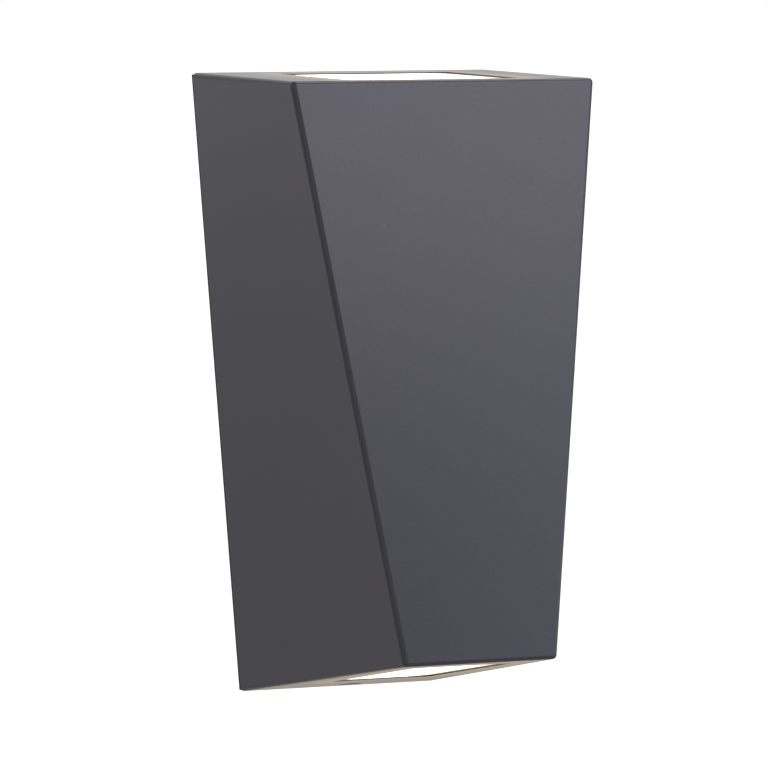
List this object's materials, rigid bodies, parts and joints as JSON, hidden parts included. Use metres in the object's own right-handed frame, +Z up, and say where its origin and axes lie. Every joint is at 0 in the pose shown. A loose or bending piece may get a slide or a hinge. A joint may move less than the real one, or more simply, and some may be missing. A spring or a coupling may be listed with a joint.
{
  "type": "outdoor wall light",
  "caption": "Faceted die-cast wall light that tapers from a wide top to a deep narrow foot, throws light up and down, and swings out on a wall bracket for wiring.",
  "frame": {"origin": "middle of the cable entry and of both slotted hole pairs, on the wall plane", "axes": "+Y into the wall, so the light's front faces -Y; +Z up; +X to the right of someone facing the light"},
  "size_m": [0.119, 0.0998, 0.2147],
  "materials": {
    "anthracite_casting": "matte",
    "bracket_zinc": "satin",
    "bar_zinc": "satin",
    "pin_steel": "satin",
    "screw_steel": "satin",
    "black_rubber": "matte",
    "black_foam": "matte",
    "silicone_seal": "satin",
    "opal_lens": "satin",
    "white_reflector": "satin",
    "chassis_aluminium": "satin",
    "thermal_pad": "matte",
    "board_white": "satin",
    "led_phosphor": "satin",
    "driver_plastic": "satin",
    "circuit_green": "satin",
    "ferrite": "matte",
    "capacitor_can": "satin",
    "terminal_grey": "satin",
    "lever_orange": "satin",
    "contact_brass": "satin",
    "tag_tin": "satin",
    "lead_brown": "satin",
    "lead_blue": "satin",
    "lead_green_yellow": "satin",
    "lead_red": "satin",
    "lead_black": "satin"
  },
  "bodies": {
    "bracket": {"wall_bracket": "bracket_zinc", "hinge_ears": "bracket_zinc", "lock_tab": "bracket_zinc", "cable_grommet": "black_rubber"},
    "housing": {"back_seal": "black_foam", "bottom_black_lead": "lead_black", "bottom_board_screws": "screw_steel", "bottom_led_board": "board_white", "bottom_leds": "led_phosphor", "bottom_lens": "opal_lens", "bottom_lens_seal": "silicone_seal", "bottom_red_lead": "lead_red", "bottom_reflector": "white_reflector", "bottom_reflector_screws": "screw_steel", "bottom_thermal_pad": "thermal_pad", "chassis": "chassis_aluminium", "chassis_screws": "screw_steel", "driver_board": "circuit_green", "driver_capacitors": "capacitor_can", "driver_case": "driver_plastic", "driver_lid": "driver_plastic", "driver_screws": "screw_steel", "driver_transformer": "ferrite", "earth_lead": "lead_green_yellow", "earth_screw": "screw_steel", "earth_tag": "tag_tin", "hinge_pin": "pin_steel", "housing_shell": "anthracite_casting", "lead_grommet": "black_rubber", "live_lead": "lead_brown", "lock_washer": "black_rubber", "neutral_lead": "lead_blue", "terminal_block": "terminal_grey", "terminal_contacts": "contact_brass", "terminal_screws": "screw_steel", "top_black_lead": "lead_black", "top_board_screws": "screw_steel", "top_led_board": "board_white", "top_leds": "led_phosphor", "top_lens": "opal_lens", "top_lens_seal": "silicone_seal", "top_red_lead": "lead_red", "top_reflector": "white_reflector", "top_reflector_screws": "screw_steel", "top_thermal_pad": "thermal_pad"},
    "lock_screw": {"lock_screw": "screw_steel"},
    "clamp_bar": {"clamp_bar": "bar_zinc"},
    "live_lever": {"live_lever": "lever_orange"},
    "neutral_lever": {"neutral_lever": "lever_orange"},
    "earth_lever": {"earth_lever": "lever_orange"}
  },
  "joints": [
    {"name": "housing_swing", "type": "hinge", "parent": "bracket", "child": "housing", "pos_m": [0, -0.007, 0.102], "axis": [-1, 0, 0], "range_deg": [0, 30]},
    {"name": "lock_screw_turn", "type": "hinge", "parent": "housing", "child": "lock_screw", "pos_m": [0, -0.01, -0.1], "axis": [0, 0, -1], "range_deg": [0, 720]},
    {"name": "clamp_bar_travel", "type": "slide", "parent": "housing", "child": "clamp_bar", "axis": [0, 0, 1], "range_m": [0, 0.0014]},
    {"name": "live_lever_open", "type": "hinge", "parent": "housing", "child": "live_lever", "pos_m": [-0.0031, -0.0134, 0.031], "axis": [1, 0, 0], "range_deg": [0, 85]},
    {"name": "neutral_lever_open", "type": "hinge", "parent": "housing", "child": "neutral_lever", "pos_m": [0.0031, -0.0134, 0.031], "axis": [1, 0, 0], "range_deg": [0, 85]},
    {"name": "earth_lever_open", "type": "hinge", "parent": "housing", "child": "earth_lever", "pos_m": [0.0093, -0.0134, 0.031], "axis": [1, 0, 0], "range_deg": [0, 85]}
  ],
  "couplings": [
    {"joint": "lock_screw_turn", "follows": "clamp_bar_travel", "rad_per_m": 8975.9}
  ]
}
